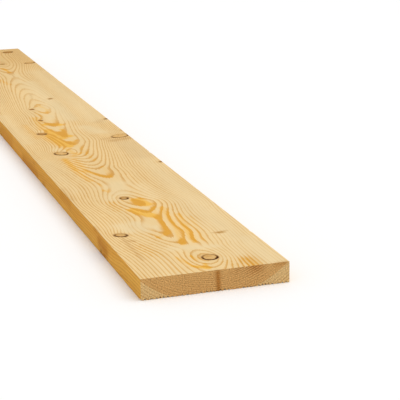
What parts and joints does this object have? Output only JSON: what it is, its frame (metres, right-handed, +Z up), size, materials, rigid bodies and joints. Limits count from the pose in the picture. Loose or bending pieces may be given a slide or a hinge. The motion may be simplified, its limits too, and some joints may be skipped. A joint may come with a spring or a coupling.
{
  "type": "timber plank",
  "caption": "Planed softwood plank of rectangular section, with lightly eased arrises and both ends crosscut square.",
  "frame": {"origin": "on the underside, at the middle of the plank's length and width", "axes": "+Y along the length towards the far end, +X across the width, +Z up through the thickness"},
  "size_m": [0.195, 1.8, 0.028],
  "materials": {
    "planed_softwood": "planed, unfinished"
  },
  "bodies": {
    "root": {"plank": "planed_softwood"}
  },
  "joints": []
}
